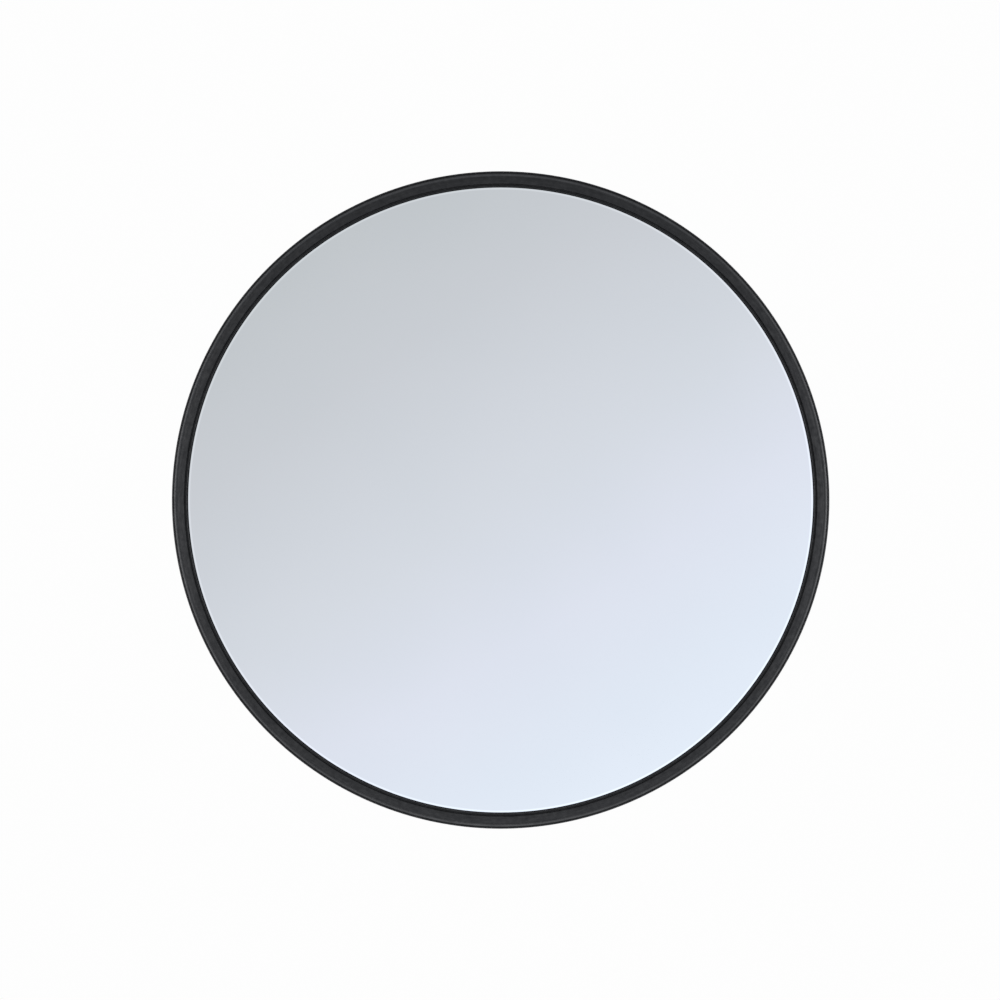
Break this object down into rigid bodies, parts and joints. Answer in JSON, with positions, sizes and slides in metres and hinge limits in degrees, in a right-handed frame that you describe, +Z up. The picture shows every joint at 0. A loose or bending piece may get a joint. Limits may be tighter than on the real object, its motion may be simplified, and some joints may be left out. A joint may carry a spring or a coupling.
{
  "type": "convex security mirror",
  "caption": "Round convex mirror in a soft black edge trim, on a pan and tilt wall bracket with star knobs at both pivots.",
  "frame": {"origin": "centre of the wall plate's back face, on the wall's surface", "axes": "+Y into the wall, so the mirror faces -Y at rest; +Z up; +X to the right as seen from the room"},
  "size_m": [0.45, 0.2885, 0.45],
  "materials": {
    "bracket_paint": "satin black powder coat on steel",
    "zinc_steel": "bright zinc plating on steel",
    "knob_plastic": "moulded black nylon with a fine texture",
    "insert_brass": "machined brass",
    "nylon": "natural nylon",
    "seal_foam": "closed-cell foam rubber",
    "shell_plastic": "vacuum-formed black ABS with a fine grain",
    "mirror": "acrylic dome, metallised on its inner face",
    "trim_rubber": "extruded soft black vinyl, satin with a faint mottle"
  },
  "bodies": {
    "wall_mount": {"wall_plate": "bracket_paint", "wall_yoke": "bracket_paint", "pan_bolt": "zinc_steel", "pan_friction_washers": "nylon", "pan_washer": "zinc_steel", "pan_spring_washer": "zinc_steel"},
    "pan_knob": {"pan_knob": "knob_plastic", "pan_knob_insert": "insert_brass"},
    "arm": {"rear_knuckle": "bracket_paint", "arm_tube": "bracket_paint", "front_knuckle": "bracket_paint", "arm_pins": "zinc_steel"},
    "mirror_head": {"tilt_yoke": "bracket_paint", "tilt_bolt": "zinc_steel", "tilt_friction_washers": "nylon", "tilt_washer": "zinc_steel", "tilt_spring_washer": "zinc_steel", "mirror_plate": "bracket_paint", "hub_gasket": "seal_foam", "mount_screws": "zinc_steel", "mount_washers": "zinc_steel", "backing_plate": "zinc_steel", "mount_nuts": "zinc_steel", "back_shell": "shell_plastic", "lens_seal": "seal_foam", "mirror_lens": "mirror", "edge_trim": "trim_rubber"},
    "tilt_knob": {"tilt_knob": "knob_plastic", "tilt_knob_insert": "insert_brass"}
  },
  "joints": [
    {"name": "arm_pan", "type": "hinge", "parent": "wall_mount", "child": "arm", "pos_m": [0, -0.031, 0], "axis": [0, 0, 1], "range_deg": [-45, 45]},
    {"name": "head_tilt", "type": "hinge", "parent": "arm", "child": "mirror_head", "pos_m": [0, -0.181, 0], "axis": [1, 0, 0], "range_deg": [-60, 60]},
    {"name": "pan_knob_turn", "type": "hinge", "parent": "wall_mount", "child": "pan_knob", "pos_m": [0, -0.031, 0], "axis": [0, 0, 1], "continuous": true},
    {"name": "tilt_knob_turn", "type": "hinge", "parent": "mirror_head", "child": "tilt_knob", "pos_m": [0, -0.181, 0], "axis": [1, 0, 0], "continuous": true}
  ]
}
